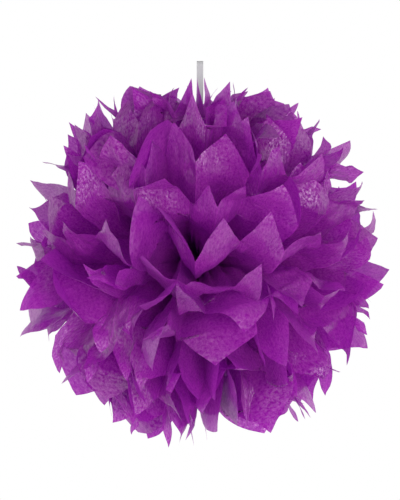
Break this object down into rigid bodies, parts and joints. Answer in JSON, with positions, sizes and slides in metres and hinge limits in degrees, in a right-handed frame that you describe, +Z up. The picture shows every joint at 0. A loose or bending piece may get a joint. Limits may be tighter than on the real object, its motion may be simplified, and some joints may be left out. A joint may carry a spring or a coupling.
{
  "type": "tissue paper ball",
  "caption": "Fluffy hanging ball of violet tissue paper: pleated sheets with pointed ends, wired at the waist and fanned up and down, on a ribbon loop it can twist and rock on.",
  "frame": {"origin": "centre of the hook in the ribbon loop, at the top of the ribbon", "axes": "+Z up; the pleated strip and the waist run along Y; the ribbon's width runs along X"},
  "size_m": [0.4004, 0.4042, 0.418],
  "materials": {
    "tissue": "matte translucent tissue",
    "wire": "bare wire",
    "ribbon": "sheer grey"
  },
  "bodies": {
    "ribbon": {"hanging_ribbon": "ribbon"},
    "knot": {"ribbon_knot": "ribbon"},
    "core": {"wire_tie": "wire", "pinched_waist": "tissue", "sheet_07_front": "tissue", "sheet_07_back": "tissue", "sheet_08_front": "tissue", "sheet_08_back": "tissue"},
    "sheet_01_front": {"sheet_01_front": "tissue"},
    "sheet_01_back": {"sheet_01_back": "tissue"},
    "sheet_02_front": {"sheet_02_front": "tissue"},
    "sheet_02_back": {"sheet_02_back": "tissue"},
    "sheet_03_front": {"sheet_03_front": "tissue"},
    "sheet_03_back": {"sheet_03_back": "tissue"},
    "sheet_04_front": {"sheet_04_front": "tissue"},
    "sheet_04_back": {"sheet_04_back": "tissue"},
    "sheet_05_front": {"sheet_05_front": "tissue"},
    "sheet_05_back": {"sheet_05_back": "tissue"},
    "sheet_06_front": {"sheet_06_front": "tissue"},
    "sheet_06_back": {"sheet_06_back": "tissue"},
    "sheet_09_front": {"sheet_09_front": "tissue"},
    "sheet_09_back": {"sheet_09_back": "tissue"},
    "sheet_10_front": {"sheet_10_front": "tissue"},
    "sheet_10_back": {"sheet_10_back": "tissue"},
    "sheet_11_front": {"sheet_11_front": "tissue"},
    "sheet_11_back": {"sheet_11_back": "tissue"},
    "sheet_12_front": {"sheet_12_front": "tissue"},
    "sheet_12_back": {"sheet_12_back": "tissue"}
  },
  "joints": [
    {"name": "ball_spin", "type": "hinge", "parent": "ribbon", "child": "knot", "pos_m": [0, 0, -0.21], "axis": [0, 0, 1], "range_deg": [-180, 180]},
    {"name": "ball_tilt", "type": "hinge", "parent": "knot", "child": "core", "pos_m": [0, 0, -0.192], "axis": [1, 0, 0], "range_deg": [-6, 6], "stiffness_Nm_per_rad": 0.03},
    {"name": "upper_front_open", "type": "hinge", "parent": "core", "child": "sheet_01_front", "pos_m": [0, 0, -0.21], "axis": [1, 0, 0], "range_deg": [0, 9], "stiffness_Nm_per_rad": 0.06, "springref_deg": -4.58},
    {"name": "sheet_02_front_open", "type": "hinge", "parent": "core", "child": "sheet_02_front", "pos_m": [0, 0, -0.21], "axis": [1, 0, 0], "range_deg": [0, 7.51], "stiffness_Nm_per_rad": 0.06, "springref_deg": -3.82},
    {"name": "sheet_03_front_open", "type": "hinge", "parent": "core", "child": "sheet_03_front", "pos_m": [0, 0, -0.21], "axis": [1, 0, 0], "range_deg": [0, 6.01], "stiffness_Nm_per_rad": 0.06, "springref_deg": -3.06},
    {"name": "sheet_04_front_open", "type": "hinge", "parent": "core", "child": "sheet_04_front", "pos_m": [0, 0, -0.21], "axis": [1, 0, 0], "range_deg": [0, 4.51], "stiffness_Nm_per_rad": 0.06, "springref_deg": -2.29},
    {"name": "sheet_05_front_open", "type": "hinge", "parent": "core", "child": "sheet_05_front", "pos_m": [0, 0, -0.21], "axis": [1, 0, 0], "range_deg": [0, 3.01], "stiffness_Nm_per_rad": 0.06, "springref_deg": -1.53},
    {"name": "sheet_06_front_open", "type": "hinge", "parent": "core", "child": "sheet_06_front", "pos_m": [0, 0, -0.21], "axis": [1, 0, 0], "range_deg": [0, 1.51], "stiffness_Nm_per_rad": 0.06, "springref_deg": -0.76},
    {"name": "upper_back_open", "type": "hinge", "parent": "core", "child": "sheet_01_back", "pos_m": [0, 0, -0.21], "axis": [-1, 0, 0], "range_deg": [0, 9], "stiffness_Nm_per_rad": 0.06, "springref_deg": -4.58},
    {"name": "sheet_02_back_open", "type": "hinge", "parent": "core", "child": "sheet_02_back", "pos_m": [0, 0, -0.21], "axis": [-1, 0, 0], "range_deg": [0, 7.51], "stiffness_Nm_per_rad": 0.06, "springref_deg": -3.82},
    {"name": "sheet_03_back_open", "type": "hinge", "parent": "core", "child": "sheet_03_back", "pos_m": [0, 0, -0.21], "axis": [-1, 0, 0], "range_deg": [0, 6.01], "stiffness_Nm_per_rad": 0.06, "springref_deg": -3.06},
    {"name": "sheet_04_back_open", "type": "hinge", "parent": "core", "child": "sheet_04_back", "pos_m": [0, 0, -0.21], "axis": [-1, 0, 0], "range_deg": [0, 4.51], "stiffness_Nm_per_rad": 0.06, "springref_deg": -2.29},
    {"name": "sheet_05_back_open", "type": "hinge", "parent": "core", "child": "sheet_05_back", "pos_m": [0, 0, -0.21], "axis": [-1, 0, 0], "range_deg": [0, 3.01], "stiffness_Nm_per_rad": 0.06, "springref_deg": -1.53},
    {"name": "sheet_06_back_open", "type": "hinge", "parent": "core", "child": "sheet_06_back", "pos_m": [0, 0, -0.21], "axis": [-1, 0, 0], "range_deg": [0, 1.51], "stiffness_Nm_per_rad": 0.06, "springref_deg": -0.76},
    {"name": "lower_front_open", "type": "hinge", "parent": "core", "child": "sheet_12_front", "pos_m": [0, 0, -0.21], "axis": [-1, 0, 0], "range_deg": [0, 6], "stiffness_Nm_per_rad": 0.06, "springref_deg": -4.58},
    {"name": "sheet_11_front_open", "type": "hinge", "parent": "core", "child": "sheet_11_front", "pos_m": [0, 0, -0.21], "axis": [-1, 0, 0], "range_deg": [0, 4.51], "stiffness_Nm_per_rad": 0.06, "springref_deg": -3.44},
    {"name": "sheet_10_front_open", "type": "hinge", "parent": "core", "child": "sheet_10_front", "pos_m": [0, 0, -0.21], "axis": [-1, 0, 0], "range_deg": [0, 3.01], "stiffness_Nm_per_rad": 0.06, "springref_deg": -2.29},
    {"name": "sheet_09_front_open", "type": "hinge", "parent": "core", "child": "sheet_09_front", "pos_m": [0, 0, -0.21], "axis": [-1, 0, 0], "range_deg": [0, 1.51], "stiffness_Nm_per_rad": 0.06, "springref_deg": -1.15},
    {"name": "lower_back_open", "type": "hinge", "parent": "core", "child": "sheet_12_back", "pos_m": [0, 0, -0.21], "axis": [1, 0, 0], "range_deg": [0, 6], "stiffness_Nm_per_rad": 0.06, "springref_deg": -4.58},
    {"name": "sheet_11_back_open", "type": "hinge", "parent": "core", "child": "sheet_11_back", "pos_m": [0, 0, -0.21], "axis": [1, 0, 0], "range_deg": [0, 4.51], "stiffness_Nm_per_rad": 0.06, "springref_deg": -3.44},
    {"name": "sheet_10_back_open", "type": "hinge", "parent": "core", "child": "sheet_10_back", "pos_m": [0, 0, -0.21], "axis": [1, 0, 0], "range_deg": [0, 3.01], "stiffness_Nm_per_rad": 0.06, "springref_deg": -2.29},
    {"name": "sheet_09_back_open", "type": "hinge", "parent": "core", "child": "sheet_09_back", "pos_m": [0, 0, -0.21], "axis": [1, 0, 0], "range_deg": [0, 1.51], "stiffness_Nm_per_rad": 0.06, "springref_deg": -1.15}
  ],
  "couplings": [
    {"joint": "sheet_02_front_open", "follows": "upper_front_open", "ratio": 0.83333},
    {"joint": "sheet_03_front_open", "follows": "upper_front_open", "ratio": 0.66667},
    {"joint": "sheet_04_front_open", "follows": "upper_front_open", "ratio": 0.5},
    {"joint": "sheet_05_front_open", "follows": "upper_front_open", "ratio": 0.33333},
    {"joint": "sheet_06_front_open", "follows": "upper_front_open", "ratio": 0.16667},
    {"joint": "sheet_02_back_open", "follows": "upper_back_open", "ratio": 0.83333},
    {"joint": "sheet_03_back_open", "follows": "upper_back_open", "ratio": 0.66667},
    {"joint": "sheet_04_back_open", "follows": "upper_back_open", "ratio": 0.5},
    {"joint": "sheet_05_back_open", "follows": "upper_back_open", "ratio": 0.33333},
    {"joint": "sheet_06_back_open", "follows": "upper_back_open", "ratio": 0.16667},
    {"joint": "sheet_11_front_open", "follows": "lower_front_open", "ratio": 0.75},
    {"joint": "sheet_10_front_open", "follows": "lower_front_open", "ratio": 0.5},
    {"joint": "sheet_09_front_open", "follows": "lower_front_open", "ratio": 0.25},
    {"joint": "sheet_11_back_open", "follows": "lower_back_open", "ratio": 0.75},
    {"joint": "sheet_10_back_open", "follows": "lower_back_open", "ratio": 0.5},
    {"joint": "sheet_09_back_open", "follows": "lower_back_open", "ratio": 0.25}
  ]
}
